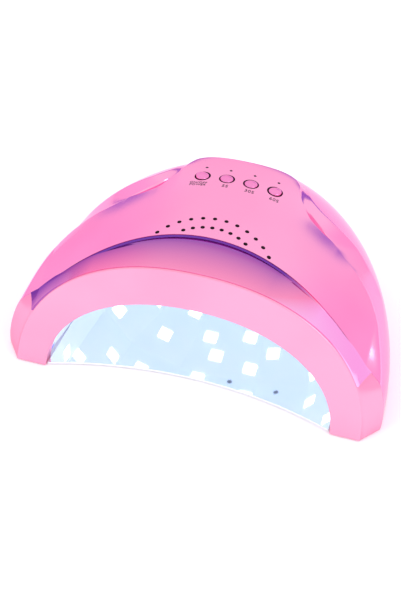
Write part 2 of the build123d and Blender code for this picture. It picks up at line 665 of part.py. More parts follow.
# ---- power input and driver ---------------------------------------------------------------
REAR = back(DEPTH)
with BuildPart() as dc_jack:
    with BuildSketch(Plane(origin=(0, REAR, JACK_Z), x_dir=(1, 0, 0), z_dir=(0, 1, 0)).offset(-0.4)):
        Circle(JACK_R - 0.2)
        Circle(2.9, mode=Mode.SUBTRACT)
    extrude(amount=-12)
    with BuildSketch(Plane(origin=(0, REAR, JACK_Z), x_dir=(1, 0, 0), z_dir=(0, 1, 0)).offset(-12.4)):
        Circle(JACK_R - 0.2)
    extrude(amount=-2)
save(dc_jack.part, "dc_jack")

with BuildPart() as jack_pin:
    with Locations(Plane(origin=(0, REAR - 2.5, JACK_Z), x_dir=(1, 0, 0), z_dir=(0, -1, 0))):
        Cylinder(1.05, 9.9, align=(Align.CENTER, Align.CENTER, Align.MIN))
save(jack_pin.part, "jack_pin")

with BuildPart() as driver_board:
    with Locations((0, back(DRIVER_POST_Y), DRIVER_Z)):
        Box(58, 28, PCB_THICK, align=(Align.CENTER, Align.CENTER, Align.MIN))
    with Locations(*[(s * DRIVER_POST_X, back(DRIVER_POST_Y), DRIVER_Z) for s in (-1, 1)]):
        Cylinder(1.6, 8, mode=Mode.SUBTRACT)
save(driver_board.part, "driver_board")

with BuildPart() as driver_parts:
    with Locations((-13, back(DRIVER_POST_Y + 6), DRIVER_Z + PCB_THICK)):
        Cylinder(4.0, 9.0, align=(Align.CENTER, Align.CENTER, Align.MIN))
    with Locations((0, back(DRIVER_POST_Y), DRIVER_Z + PCB_THICK)):
        Box(12, 12, 6, align=(Align.CENTER, Align.CENTER, Align.MIN))
    with Locations((13, back(DRIVER_POST_Y - 6), DRIVER_Z + PCB_THICK)):
        Cylinder(5.5, 5.0, align=(Align.CENTER, Align.CENTER, Align.MIN))
save(driver_parts.part, "driver_parts")

LEAD_R = 1.5
lead_route = [(0, back(171.0), JACK_Z), (0, back(164.0), 34.0), (0, back(150.0), 58.0),
              (0, back(DRIVER_POST_Y + 13.0), DRIVER_Z + PCB_THICK + LEAD_R + 0.9)]
with BuildPart() as power_lead:
    with BuildLine() as lead_line:
        FilletPolyline(*lead_route, radius=12)
    with BuildSketch(Plane(origin=lead_line.line @ 0, z_dir=lead_line.line % 0)):
        Circle(LEAD_R)
    sweep()
save(power_lead.part, "power_lead")

with BuildPart() as buzzer:
    with Locations((24, back(80), PCB_Z)):
        Cylinder(5.5, 5.0, align=(Align.CENTER, Align.CENTER, Align.MAX))
save(buzzer.part, "buzzer")

with BuildPart() as rating_label:
    with Locations((0, back(168), GROUND_GAP - 0.2)):
        Box(46, 14, 0.2, align=(Align.CENTER, Align.CENTER, Align.MIN))
save(rating_label.part, "rating_label")
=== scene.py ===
from math import cos, radians, sin
import json
import bpy
import numpy as np
from mathutils import Matrix, Vector


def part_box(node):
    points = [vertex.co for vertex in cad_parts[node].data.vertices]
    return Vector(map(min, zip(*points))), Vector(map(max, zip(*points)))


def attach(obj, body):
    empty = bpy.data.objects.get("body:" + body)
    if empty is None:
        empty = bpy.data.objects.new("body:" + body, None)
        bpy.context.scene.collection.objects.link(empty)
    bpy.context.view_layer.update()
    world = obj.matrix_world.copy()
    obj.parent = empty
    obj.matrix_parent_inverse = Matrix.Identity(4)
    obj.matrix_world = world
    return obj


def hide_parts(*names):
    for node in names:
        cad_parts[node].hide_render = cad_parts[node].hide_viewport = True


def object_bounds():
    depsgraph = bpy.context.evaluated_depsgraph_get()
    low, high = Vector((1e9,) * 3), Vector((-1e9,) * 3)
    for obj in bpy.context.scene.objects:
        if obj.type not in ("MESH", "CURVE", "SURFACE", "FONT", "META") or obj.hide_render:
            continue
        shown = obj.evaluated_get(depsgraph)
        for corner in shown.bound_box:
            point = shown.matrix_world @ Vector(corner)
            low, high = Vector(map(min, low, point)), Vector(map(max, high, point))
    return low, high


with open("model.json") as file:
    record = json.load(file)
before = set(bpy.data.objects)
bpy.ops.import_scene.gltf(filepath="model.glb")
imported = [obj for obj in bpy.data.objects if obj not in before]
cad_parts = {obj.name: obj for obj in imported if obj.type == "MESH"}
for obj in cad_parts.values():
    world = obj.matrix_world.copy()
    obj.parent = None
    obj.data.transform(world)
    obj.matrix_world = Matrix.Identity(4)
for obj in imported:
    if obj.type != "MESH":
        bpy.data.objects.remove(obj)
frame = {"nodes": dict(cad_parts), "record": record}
cad_box = [list(corner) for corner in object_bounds()]
nodes = frame["nodes"]

# ---- frame measures -----------------------------------------------------------------------
# Form formulas below are in millimetres; MM turns them into the scene's metres.
MM = 0.001
LOW, HIGH = (np.array(corner) / MM for corner in cad_box)
FRONT = LOW[1]                   # y of the front foot corners
DEPTH = HIGH[1] - LOW[1]
WALL = 2.4                       # moulded wall thickness
GROUND_GAP = 0.8                 # housing edge above the table
PI = np.pi


def back(y):
    """Distance behind the front face to the model's own y."""
    return FRONT + y


# ---- small helpers ------------------------------------------------------------------------
def mesh_object(name, verts, faces, material, smooth=True, sharp=None):
    """Mesh object from points in millimetres."""
    mesh = bpy.data.meshes.new(name)
    points = [tuple(v) for v in np.asarray(verts) * MM]
    mesh.from_pydata(points, [], [tuple(int(i) for i in f) for f in faces])
    mesh.validate()
    mesh.update()
    mesh.polygons.foreach_set("use_smooth", [smooth] * len(mesh.polygons))
    if sharp is not None:
        mesh.set_sharp_from_angle(angle=radians(sharp))
    mesh.materials.append(material)
    obj = bpy.data.objects.new(name, mesh)
    bpy.context.scene.collection.objects.link(obj)
    return obj


def grid_faces(rows, columns, start=0, flip=False):
    """Quads of a row-major grid of points."""
    faces = []
    for i in range(rows - 1):
        for j in range(columns - 1):
            a = start + i * columns + j
            quad = (a, a + 1, a + columns + 1, a + columns)
            faces.append(quad[::-1] if flip else quad)
    return faces


def lathe(profile, centre, segments):
    """Points and faces of a profile of (radius, height) turned about a vertical axis."""
    turn = np.linspace(0, 2 * PI, segments, endpoint=False)
    verts, faces = [], []
    for r, z in profile:
        verts += [(centre[0] + r * cos(t), centre[1] + r * sin(t), centre[2] + z) for t in turn]
    for i in range(len(profile) - 1):
        low, high = i * segments, (i + 1) * segments
        for j in range(segments):
            k = (j + 1) % segments
            faces.append((low + j, low + k, high + k, high + j))
    return verts, faces


def apply_modifiers(obj):
    """Bakes an object's modifiers into its mesh."""
    depsgraph = bpy.context.evaluated_depsgraph_get()
    mesh = bpy.data.meshes.new_from_object(obj.evaluated_get(depsgraph))
    obj.modifiers.clear()
    obj.data = mesh


# ---- materials ----------------------------------------------------------------------------
def new_material(name):
    """Material, its node tree and its main shader."""
    material = bpy.data.materials.new(name)
    material.use_nodes = True
    tree = material.node_tree
    return material, tree, tree.nodes["Principled BSDF"]


def link(tree, a, out_name, b, in_name):
    tree.links.new(a.outputs[out_name], b.inputs[in_name])


def noise(tree, scale, detail=3.0, rough=0.5):
    """Noise texture in the object's own coordinates, in features per metre."""
    coords = tree.nodes.new("ShaderNodeTexCoord")
    texture = tree.nodes.new("ShaderNodeTexNoise")
    texture.inputs["Scale"].default_value = scale
    texture.inputs["Detail"].default_value = detail
    texture.inputs["Roughness"].default_value = rough
    link(tree, coords, "Object", texture, "Vector")
    return texture


def map_range(tree, source, out_name, low, high, from_low=0.35, from_high=0.65):
    """Stretches a texture's middle values over the range from low to high."""
    node = tree.nodes.new("ShaderNodeMapRange")
    node.inputs["From Min"].default_value = from_low
    node.inputs["From Max"].default_value = from_high
    node.inputs["To Min"].default_value = low
    node.inputs["To Max"].default_value = high
    link(tree, source, out_name, node, "Value")
    return node


def add_bump(tree, shader, texture, distance):
    """Fine relief of a texture, distance deep in metres."""
    bump = tree.nodes.new("ShaderNodeBump")
    bump.inputs["Strength"].default_value = 1.0
    bump.inputs["Distance"].default_value = distance
    link(tree, texture, "Fac", bump, "Height")
    link(tree, bump, "Normal", shader, "Normal")


def tinted(tree, shader, socket, texture, dark, light):
    """Colour drifting between two close tints."""
    mix = tree.nodes.new("ShaderNodeMix")
    mix.data_type = "RGBA"
    mix.inputs["A"].default_value = (*dark, 1)
    mix.inputs["B"].default_value = (*light, 1)
    link(tree, map_range(tree, texture, "Fac", 0, 1), "Result", mix, "Factor")
    link(tree, mix, "Result", shader, socket)


def hazed(tree, shader, texture, low, high):
    """Roughness drifting between two values."""
    link(tree, map_range(tree, texture, "Fac", low, high), "Result", shader, "Roughness")


def plated(name, dark, light, rough, wave=0.00003, metallic=1.0):
    """Electroplated plastic: tinted metal gloss with a faint moulding wave and fine haze."""
    material, tree, shader = new_material(name)
    shader.inputs["Metallic"].default_value = metallic
    shader.inputs["Specular Tint"].default_value = (*(0.35 + 0.65 * c for c in light), 1)
    shader.inputs["Coat Weight"].default_value = 0.06
    shader.inputs["Coat Roughness"].default_value = 0.04
    tinted(tree, shader, "Base Color", noise(tree, 14, 2), dark, light)
    hazed(tree, shader, noise(tree, 900, 4), rough * 0.94, rough * 1.06)
    add_bump(tree, shader, noise(tree, 26, 1), wave)
    return material


# Colours of the cove from the frame (0) to the lip (1): the cove's own pink with a painted violet shade
# deepening under the lip, and a painted lilac reflection where the painted shading value falls to nothing.
COVE_PAINTED_SHADE_STOPS = [(0.02, (0.94, 0.52, 0.86, 1)), (0.22, (0.90, 0.28, 0.50, 1)),
              (0.55, (0.54, 0.17, 0.46, 1)), (0.95, (0.17, 0.05, 0.37, 1))]


def cove_with_painted_shade(name):
    """Plated cove, deepening from pink at the frame to a painted violet shade under the shell's lip, with a
    painted lilac reflection where the shading value is low.
    """
    material = plated(name, (0.90, 0.32, 0.60), (0.93, 0.36, 0.64), 0.12)
    tree = material.node_tree
    shader = tree.nodes["Principled BSDF"]
    painted_shading = tree.nodes.new("ShaderNodeAttribute")
    painted_shading.attribute_name = "painted_shading"
    ramp = tree.nodes.new("ShaderNodeValToRGB")
    stops = ramp.color_ramp.elements
    stops[0].position, stops[0].color = COVE_PAINTED_SHADE_STOPS[0]
    stops[1].position, stops[1].color = COVE_PAINTED_SHADE_STOPS[-1]
    for position, colour in COVE_PAINTED_SHADE_STOPS[1:-1]:
        stops.new(position).color = colour
    link(tree, painted_shading, "Fac", ramp, "Fac")
    # The ramp replaces the plated tint: the cove's base colour carries painted shade and painted reflection.
    link(tree, ramp, "Color", shader, "Base Color")
    return material


def moulded(name, dark, light, rough, grain=1800, depth=0.00002, specular=0.5):
    """Moulded plastic or rubber with a fine grain."""
    material, tree, shader = new_material(name)
    shader.inputs["Specular IOR Level"].default_value = specular
    grain_noise = noise(tree, grain, 4)
    tinted(tree, shader, "Base Color", noise(tree, 60, 3), dark, light)
    hazed(tree, shader, grain_noise, rough * 0.85, min(rough * 1.15, 1))
    add_bump(tree, shader, grain_noise, depth)
    return material


def glowing(name, base, glow, strength, rough=0.35):
    """Lit translucent plastic of the LED lenses, which are lamps, and painted glow on parts that are no
    lamp: soft uneven glow over a satin skin.
    """
    material, tree, shader = new_material(name)
    shader.inputs["Emission Strength"].default_value = strength
    tinted(tree, shader, "Base Color", noise(tree, 90, 2), tuple(c * 0.97 for c in base), base)
    tinted(tree, shader, "Emission Color", noise(tree, 40, 2), tuple(c * 0.93 for c in glow), glow)
    hazed(tree, shader, noise(tree, 700, 3), rough * 0.8, rough * 1.2)
    return material


SHELL = plated("shell_pink", (0.97, 0.37, 0.62), (0.98, 0.42, 0.68), 0.15)
FRAME = plated("frame_pink", (0.94, 0.36, 0.54), (0.96, 0.40, 0.58), 0.30, 0.000005, 0.85)
GROOVE = cove_with_painted_shade("groove_pink")
BUTTON = plated("button_pink", (0.90, 0.28, 0.58), (0.94, 0.32, 0.62), 0.12)
# The reflector's faint blue-white emission is painted glow standing in for the LEDs' light on the liner; the
# reflector is no lamp.
REFLECTOR = glowing("reflector_white", (0.76, 0.86, 0.94), (0.78, 0.90, 1.0), 0.24)
LENS = glowing("led_lens", (1.0, 1.0, 1.0), (0.95, 0.98, 1.0), 2.2)
SENSOR = moulded("sensor_dark", (0.10, 0.12, 0.22), (0.16, 0.18, 0.30), 0.25)
BOARD = moulded("board_green", (0.03, 0.20, 0.08), (0.05, 0.26, 0.11), 0.4, 400)
RIM = moulded("rim_pink", (0.85, 0.42, 0.60), (0.88, 0.46, 0.64), 0.4)
RUBBER = moulded("foot_rubber", (0.75, 0.72, 0.75), (0.82, 0.79, 0.82), 0.75, 2500, 0.00004)
# Near-black inside of the shell: painted shade, so that the vent holes read dark.
INNER_PAINTED_SHADE = moulded("shell_inside_painted_shade", (0.02, 0.006, 0.012), (0.03, 0.01, 0.018), 0.7)
# Painted blue glow for the strips at the foot of the liner walls, which are no lamps.
PAINTED_BLUE_GLOW = glowing("painted_blue_glow", (0.04, 0.09, 0.28), (0.12, 0.25, 0.90), 0.85)
COMPONENT = moulded("component_dark", (0.012, 0.012, 0.014), (0.03, 0.03, 0.035), 0.45)
PIPE = moulded("light_pipe", (0.05, 0.015, 0.04), (0.08, 0.02, 0.06), 0.15)
LABEL = moulded("label_white", (0.72, 0.72, 0.73), (0.80, 0.80, 0.81), 0.45, 900)
INK = moulded("label_ink", (0.03, 0.008, 0.025), (0.05, 0.012, 0.04), 0.35)
STEEL = plated("screw_steel", (0.55, 0.55, 0.57), (0.62, 0.62, 0.64), 0.28)
MAGNET = plated("magnet_metal", (0.70, 0.70, 0.72), (0.76, 0.76, 0.78), 0.15)
MIRROR = plated("tray_mirror", (0.93, 0.96, 1.0), (0.96, 0.98, 1.0), 0.05, 0.000004)

SLOT_MATERIALS = {
    "reflector_white": REFLECTOR, "led_lens": LENS, "sensor_dark": SENSOR, "board_green": BOARD,
    "rim_pink": RIM, "foot_rubber": RUBBER, "component_dark": COMPONENT, "light_pipe": PIPE,
    "label_white": LABEL, "screw_steel": STEEL, "magnet_metal": MAGNET, "tray_mirror": MIRROR,
    "shell_pink": SHELL, "frame_pink": FRAME, "groove_pink": GROOVE, "button_pink": BUTTON,
}
for part in frame["record"]["subparts"]:
    node = nodes[part["node"]]
    node.data.materials.clear()
    node.data.materials.append(SLOT_MATERIALS[part["material_slot"]])


# ---- body form ----------------------------------------------------------------------------
CROWN_Z, CROWN_AT, CROWN_FALL = 100.4, 90.0, 0.00132
DOME_X, DOME_Y, DOME_Z, DOME_START = 113.1, 170.0, 114.2, 22.7
LIP_Y, LIP_SWEEP, LIP_END_X = 29.0, 12.0, 104.0
SAG = 0.0045                     # side fall of the front form per unit of x squared
LIP_SAG, LIP_SAG_AT, LIP_SAG_REACH = 0.0011, 15, 16        # rounder across near the lip
PANEL_SAG, PANEL_START, PANEL_FADE = 0.0016, 85, 4.0       # flatter across on the button panel
CREST_ROLL, CREST_REACH = 1.0, 8.0             # the front form rolls down towards the ridge
CREST_FOOT_Z, CREST_FADE_Z = 72, 8             # above this height
CREST_START_X, CREST_FADE_X = 36, 12           # and past this half-width
EDGE_ROLL, ROLL_START, ROLL_REACH = 0.5, 95.0, 4.0   # rounding of the panel's rear edge
ROLL_FADE = 10
FLARE, FLARE_TOP, FLARE_AT, FLARE_REACH = 1.3, 38.0, 10.0, 14.0   # bulge of the sides at the feet
FLANK_X, FLANK_RISE = 98.0, 0.5                # the front form turns outwards past this half-width
DOME_BLEND = 1.0                               # softness of the front form's meeting with the dome
PANEL_FROM, PANEL_OVER = radians(58), radians(8)     # turn above which the panel stands clear of the dome
# Ridge in plan, from the middle of the panel's rear edge down to a front foot.
RIDGE = np.array([(0, 113.5), (20, 113), (30, 109.5), (34.2, 103), (36, 96.5), (38.7, 89.6), (42.9, 84.1),
                  (48.5, 79.9), (56.4, 75.8), (64, 72.9), (73.6, 67), (79.6, 63.7), (85.2, 60.1), (91.2, 55),
                  (96.5, 48), (101, 40), (105.9, 30), (109.4, 24), (112.8, 19)], float)
# Valley behind the ridge: half-width of the ridge, reach of the valley, extra drop.
VALLEY = np.array([(0, 7, 1.5), (36, 7, 1.2), (46, 8, 0.6), (56, 13, 1.2), (64, 18, 1.6),
                   (86, 22, 1.5), (96, 14, 0), (113, 8, 0)], float)


def crown(y):
    return CROWN_Z - CROWN_FALL * (y - CROWN_AT) ** 2


def sag(y):
    near_lip = LIP_SAG * np.exp(-((y - LIP_SAG_AT) / LIP_SAG_REACH) ** 2)
    return SAG + near_lip - PANEL_SAG / (1 + np.exp((PANEL_START - y) / PANEL_FADE))


def soft_min(a, b, width):
    """The smaller of two values, with a rounded change from one to the other."""
    low = np.minimum(a, b)
    return low - width * np.log1p(np.exp(-np.abs(a - b) / width))


def smooth_line(points, count):
    """Evenly spaced points on a smooth curve through the given ones."""
    n = len(points)
    ends = np.vstack([2 * points[0] - points[1], points, 2 * points[-1] - points[-2]])
    ends[0] = points[1] * (-1, 1) if points[0][0] == 0 else ends[0]
    fine = []
    for i in range(n - 1):
        p0, p1, p2, p3 = ends[i:i + 4]
        for t in np.linspace(0, 1, 24, endpoint=False):
            fine.append(0.5 * (2 * p1 + (p2 - p0) * t + (2 * p0 - 5 * p1 + 4 * p2 - p3) * t ** 2
                               + (3 * p1 - p0 - 3 * p2 + p3) * t ** 3))
    fine = np.array(fine + [points[-1]])
    length = np.concatenate([[0], np.cumsum(np.linalg.norm(np.diff(fine, axis=0), axis=1))])
    even = np.linspace(0, length[-1], count)
    return np.stack([np.interp(even, length, fine[:, k]) for k in range(fine.shape[1])], 1)


RIDGE_LINE = smooth_line(RIDGE, 240)


def ridge_distance(x, y):
    """Distance behind the ridge in plan, negative in front of it, for arrays of points."""
    x = np.abs(x)
    a, b = RIDGE_LINE[:-1], RIDGE_LINE[1:]
    d = b - a
    best = np.full(x.shape, 1e9)
    sign = np.ones(x.shape)
    for (ax, ay), (dx, dy) in zip(a, d):
        t = np.clip(((x - ax) * dx + (y - ay) * dy) / (dx * dx + dy * dy), 0, 1)
        gap = np.hypot(x - ax - t * dx, y - ay - t * dy)
        closer = gap < best
        best = np.where(closer, gap, best)
        sign = np.where(closer, np.where((x - ax) * dy - (y - ay) * dx < 0, 1.0, -1.0), sign)
    return best * sign


def front_radius(angle, y):
    """Radius of the front form's cross-section at depth y."""
    ca, sa = np.maximum(np.cos(angle), 1e-6), np.maximum(np.sin(angle), 1e-6)
    top, c = crown(y), sag(y)
    radius = (-sa + np.sqrt(sa * sa + 4 * c * top * ca * ca)) / (2 * c * ca * ca)
    radius = radius + FLANK_RISE * np.maximum(radius * ca - FLANK_X, 0)
    limited = soft_min(radius, side_radius(angle, y), DOME_BLEND)
    raised = np.clip((angle - PANEL_FROM) / PANEL_OVER, 0, 1)
    return limited + (radius - limited) * raised


def dome_radius(angle, y):
    reach = np.maximum(y - DOME_START, 0) / DOME_Y
    size = np.sqrt(np.maximum(1 - reach * reach, 1e-4))
    return size / np.hypot(np.cos(angle) / DOME_X, np.sin(angle) / DOME_Z)


def side_radius(angle, y):
    """Dome with the bulge of its sides beside the front feet."""
    dome = dome_radius(angle, y)
    level = np.clip(dome * np.sin(angle) / FLARE_TOP, 0, 1)
    return dome + FLARE * np.sin(PI * level ** 0.7) * np.exp(-((y - FLARE_AT) / FLARE_REACH) ** 2)


def form_point(angle, y, ridge=None):
    """Points of the outer skin, angle 0 to 180 degrees; behind the ridge its own points are given."""
    side = np.where(angle > PI / 2, -1.0, 1.0)
    folded = np.where(angle > PI / 2, PI - angle, angle)
    if ridge is None:
        front = front_radius(folded, y)
        behind = ridge_distance(front * np.cos(folded), y)
        half, height = front * np.cos(folded), front * np.sin(folded)
        roll = EDGE_ROLL * np.clip((y - ROLL_START) / ROLL_FADE, 0, 1)
        crest = np.clip((height - CREST_FOOT_Z) / CREST_FADE_Z, 0, 1)
        crest = CREST_ROLL * crest * np.clip((half - CREST_START_X) / CREST_FADE_X, 0, 1)
        radius = front - roll * np.exp(-np.abs(behind) / ROLL_REACH)
        radius = radius - crest * np.exp(-np.abs(behind) / CREST_REACH)
    else:
        plain = side_radius(folded, y)
        place = np.stack([side * plain * np.cos(folded), back(y), plain * np.sin(folded)], -1)
        over = np.linalg.norm(ridge[:, ::2], axis=-1) - side_radius(ridge_fold, ridge_curve[:, 1])
        far = np.linalg.norm((place - ridge)[:, :2], axis=-1)
        width = np.interp(np.abs(ridge[:, 0]), VALLEY[:, 0], VALLEY[:, 1])
        drop = np.interp(np.abs(ridge[:, 0]), VALLEY[:, 0], VALLEY[:, 2])
        near = np.clip(1 - far / width, 0, 1)
        shape = np.where(over > 0, near * near * (3 - 2 * near), near)
        radius = plain + over * shape - drop * near * (1 - np.exp(-far))
    return np.stack([side * radius * np.cos(folded), back(y), radius * np.sin(folded)], -1)


def lip_depth(x):
    """Depth of the shell's lip at half-width x."""
    return LIP_Y - LIP_SWEEP * (x / LIP_END_X) ** 2


def floor_place(angle, y):
    """Points of the plain dome, for spacing the rear edge evenly."""
    folded = np.where(angle > PI / 2, PI - angle, angle)
    radius = side_radius(folded, y)
    return np.stack([radius * np.cos(angle), back(y), radius * np.sin(angle)], -1)


FLOOR_ANGLE = GROUND_GAP / DOME_X


def surface_angle(x, y):
    """Angle at which the front form has half-width x at depth y."""
    angles = np.linspace(FLOOR_ANGLE, PI / 2, 1200)
    widths = front_radius(angles, np.full_like(angles, y)) * np.cos(angles)
    over = np.nonzero(widths <= x)[0]
    return angles[over[0]] if len(over) and x < widths[0] - 0.05 else FLOOR_ANGLE


def even_curve(points, place, count):
    """Resamples (angle, depth) pairs evenly by the length of their 3-D line."""
    line = place(points[:, 0], points[:, 1])
    length = np.concatenate([[0], np.cumsum(np.linalg.norm(np.diff(line, axis=0), axis=1))])
    even = np.linspace(0, length[-1], count)
    return np.stack([np.interp(even, length, points[:, k]) for k in (0, 1)], 1)


def mirrored(points):
    """Right half from the foot to the middle, continued down to the left foot."""
    left = points[:-1][::-1].copy()
    left[:, 0] = PI - left[:, 0]
    return np.vstack([points, left])


COLUMNS = 321                    # points across the skin, foot to foot
LIP_ROUNDS = 12                  # rounds of finding the lip's depth from its width
angles = np.linspace(FLOOR_ANGLE, PI / 2, 400)
depths = np.full_like(angles, LIP_Y - LIP_SWEEP)
for _ in range(LIP_ROUNDS):
    depths = lip_depth(front_radius(angles, depths) * np.cos(angles))
lip_curve = even_curve(mirrored(np.stack([angles, depths], 1)), form_point, COLUMNS)

ridge_half = [(surface_angle(x, y), y) for x, y in RIDGE_LINE[::-1]]
ridge_half = np.array([(FLOOR_ANGLE, ridge_half[0][1])] + ridge_half)
ridge_half[-1, 0] = PI / 2
ridge_curve = even_curve(mirrored(ridge_half), form_point, COLUMNS)

ridge_fold = np.where(ridge_curve[:, 0] > PI / 2, PI - ridge_curve[:, 0], ridge_curve[:, 0])
foot_y = ridge_half[0][1]
floor_half = [(FLOOR_ANGLE, y) for y in np.linspace(foot_y, DEPTH, 200)]
floor_half += [(a, DEPTH) for a in np.linspace(FLOOR_ANGLE, PI / 2, 60)[1:]]
floor_curve = even_curve(mirrored(np.array(floor_half)), floor_place, COLUMNS)


def shell_skin():
    """Rows of points from the lip over the ridge to the rear edge."""
    front_steps = np.linspace(0, 1, 90)
    rear_steps = np.linspace(0, 1, 130) ** 1.35
    rows = []
    for t in front_steps:
        mix = lip_curve * (1 - t) + ridge_curve * t
        rows.append(form_point(mix[:, 0], mix[:, 1]))
    for t in rear_steps[1:]:
        mix = ridge_curve * (1 - t) + floor_curve * t
        rows.append(form_point(mix[:, 0], mix[:, 1], rows[len(front_steps) - 1]))
    return np.array(rows)


PLUG_SIDES = 40


def cutter_of(shapes):
    """One closed cutting mesh from plugs: profile, centre, and whether the plug lies along y."""
    verts, faces = [], []
    for profile, centre, lying in shapes:
        v, f = lathe(profile, (0, 0, 0), PLUG_SIDES)
        v = np.array(v)
        if lying:
            v = np.stack([v[:, 0], -v[:, 2], v[:, 1]], 1)
        start = len(verts)
        last = start + (len(profile) - 1) * PLUG_SIDES
        verts += list(v + centre)
        faces += [tuple(start + i for i in face) for face in f]
        faces.append(tuple(start + i for i in range(PLUG_SIDES))[::-1])
        faces.append(tuple(last + i for i in range(PLUG_SIDES)))
    return mesh_object("cutter", verts, faces, INNER_PAINTED_SHADE, smooth=False)


BUTTON_PITCH, BUTTON_Y, LAMP_Y = 14.85, 87.2, 97.3
BORE_R, LAMP_R = 4.75, 0.9
VENT_CENTRE_Y, VENT_R, VENT_STEP = 2.6, 1.0, 9.1
VENT_ARCS = ((43.0, 12), (34.8, 8))
JACK_Z, JACK_R = 12.5, 6.2
CUT_BELOW, CUT_ABOVE = -9, 6     # ends of the plugs that cut the holes
button_x = [(i - 1.5) * BUTTON_PITCH for i in range(4)]


def panel_level(x, y):
    """Height of the outer skin over a place near the middle of the shell."""
    return crown(y) - sag(y) * x * x


def hole_plugs():
    """Plugs for the button bores, lamp holes, vent holes and inlet."""
    plugs = []
    for x in button_x:
        bore = [(BORE_R, CUT_BELOW), (BORE_R, -0.3), (BORE_R + 0.15, 0.2), (BORE_R + 0.15, CUT_ABOVE)]
        plugs.append((bore, (x, back(BUTTON_Y), panel_level(x, BUTTON_Y)), False))
        lamp = [(LAMP_R, CUT_BELOW), (LAMP_R, CUT_ABOVE)]
        plugs.append((lamp, (x, back(LAMP_Y), panel_level(x, LAMP_Y)), False))
    vent = [(VENT_R, CUT_BELOW), (VENT_R, -0.9), (VENT_R + 0.3, 0.1), (VENT_R + 0.5, CUT_ABOVE)]
    for radius, holes in VENT_ARCS:
        for i in range(holes):
            turn = radians((i - (holes - 1) / 2) * VENT_STEP)
            x, y = radius * sin(turn), VENT_CENTRE_Y + radius * cos(turn)
            plugs.append((vent, (x, back(y), panel_level(x, y)), False))
    plugs.append(([(JACK_R, -8), (JACK_R, 8)], (0, back(DEPTH), JACK_Z), True))
    return plugs


def build_shell():
    rows = shell_skin()
    count, columns = rows.shape[:2]
    verts = list(rows.reshape(-1, 3))
    faces = grid_faces(count, columns, flip=True)
    # The flat rear panel, between the rear edge of the skin and the table.
    rim = [j for j in range(columns) if abs(rows[-1, j, 1] - back(DEPTH)) < 1e-6]
    start = len(verts)
    verts += [(rows[-1, j, 0], back(DEPTH), GROUND_GAP) for j in rim]
    for k in range(len(rim) - 1):
        a = (count - 1) * columns + rim[k]
        faces.append((start + k, start + k + 1, a + 1, a))
    shell = mesh_object("shell_skin", verts, faces, SHELL)
    shell.data.materials.append(INNER_PAINTED_SHADE)
    merge = shell.modifiers.new("merge", "WELD")
    merge.merge_threshold = 0.02 * MM
    solid = shell.modifiers.new("wall", "SOLIDIFY")
    solid.thickness = WALL * MM
    solid.offset = -1
    solid.use_even_offset = False
    # The inner side takes the second slot, the near-black painted shade.
    solid.material_offset = 1
    apply_modifiers(shell)
    for vert in shell.data.vertices:
        vert.co.z = max(vert.co.z, GROUND_GAP * MM)
    cutter = cutter_of(hole_plugs())
    cut = shell.modifiers.new("holes", "BOOLEAN")
    cut.object = cutter
    cut.solver = "EXACT"
    apply_modifiers(shell)
    bpy.data.objects.remove(cutter)
    shell.data.polygons.foreach_set("use_smooth", [True] * len(shell.data.polygons))
    shell.data.set_sharp_from_angle(angle=radians(28))
    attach(shell, "housing")
    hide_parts("top_shell")


build_shell()

# ---- front frame --------------------------------------------------------------------------
ARCH_OUT = (104.2, 82.7)
ARCH_IN = (86.0, 59.2)
ARCH_POWER = {ARCH_OUT: 2.2, ARCH_IN: 2.12}
LEDGE_THICK, LEDGE_STEP = 1.6, 3.0
FACE_LEAN, FRAME_THICK = 0.1, 8.0
INNER_ROUND, OUTER_ROUND = 1.2, 0.9   # rounding of the front face's two edges
REAR_IN_Y = 8.7                  # rear of the arch's inner edge
FOOT_TOP, FOOT_INNER_X = 37.6, 91.0
FOOT_STEPS = (0.12, 0.5, 0.93, 1.0)   # points across a foot's outer side
lip_reaches = front_radius(angles, depths)
lip_heights = lip_reaches * np.sin(angles)
lip_widths = lip_reaches * np.cos(angles)


def arch_point(turn, half_top):
    """Point of an arch with the given half-width and height."""
    half, top = half_top
    power = ARCH_POWER[half_top]
    x = half * np.sign(np.cos(turn)) * abs(np.cos(turn)) ** (2 / power)
    return np.array((x, top * max(np.sin(turn), 0.0) ** (2 / power)))


